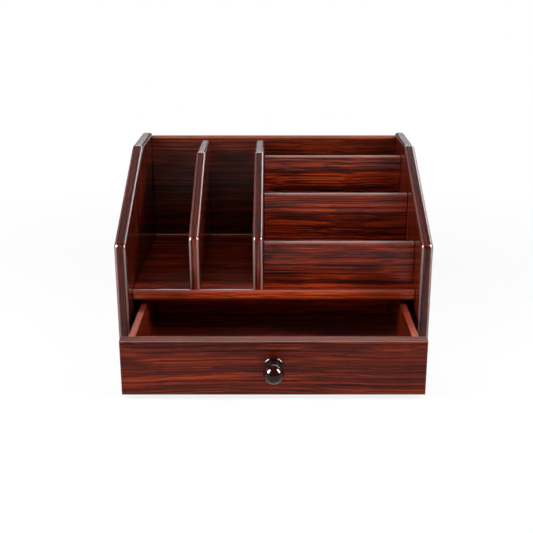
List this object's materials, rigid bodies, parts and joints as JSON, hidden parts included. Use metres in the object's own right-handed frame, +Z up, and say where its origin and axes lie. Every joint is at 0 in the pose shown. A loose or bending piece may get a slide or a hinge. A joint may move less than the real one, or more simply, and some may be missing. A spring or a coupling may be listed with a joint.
{
  "type": "desk organizer with drawer",
  "caption": "Wooden desk organizer: sloped sides, open upright bays and stepped letter slots on a shelf, with a sliding drawer below that has a turned knob.",
  "frame": {"origin": "centre of the cabinet's footprint, on the underside that it stands on", "axes": "+X to the right, +Y from the drawer to the back panel, +Z up"},
  "size_m": [0.31, 0.3319, 0.1975],
  "materials": {
    "rosewood_lacquer": "dark red rosewood grain under gloss lacquer",
    "drawer_wood": "red stained wood with open pores, thin satin lacquer",
    "stained_board": "red-brown stained board, satin",
    "knob_lacquer": "turned wood, near-black gloss lacquer",
    "beech_dowel": "plain beech",
    "zinc_screw": "zinc plated"
  },
  "bodies": {
    "cabinet": {"side_panel_left": "rosewood_lacquer", "side_panel_right": "rosewood_lacquer", "back_panel": "rosewood_lacquer", "shelf": "rosewood_lacquer", "divider_left": "rosewood_lacquer", "divider_right": "rosewood_lacquer", "letter_panel_front": "rosewood_lacquer", "letter_panel_middle": "rosewood_lacquer", "letter_panel_rear": "rosewood_lacquer", "base_board": "stained_board", "drawer_guide_left": "stained_board", "drawer_guide_right": "stained_board", "shelf_dowels": "beech_dowel", "back_panel_dowels": "beech_dowel", "divider_dowels": "beech_dowel", "letter_panel_dowels": "beech_dowel", "base_screws": "zinc_screw", "guide_screws": "zinc_screw"},
    "drawer": {"drawer_front": "rosewood_lacquer", "drawer_side_left": "drawer_wood", "drawer_side_right": "drawer_wood", "drawer_back": "drawer_wood", "drawer_bottom": "drawer_wood", "drawer_dowels": "beech_dowel", "knob": "knob_lacquer", "knob_screw": "zinc_screw"}
  },
  "joints": [
    {"name": "drawer_slide", "type": "slide", "parent": "cabinet", "child": "drawer", "axis": [0, -1, 0], "range_m": [-0.0942, 0.046]}
  ]
}
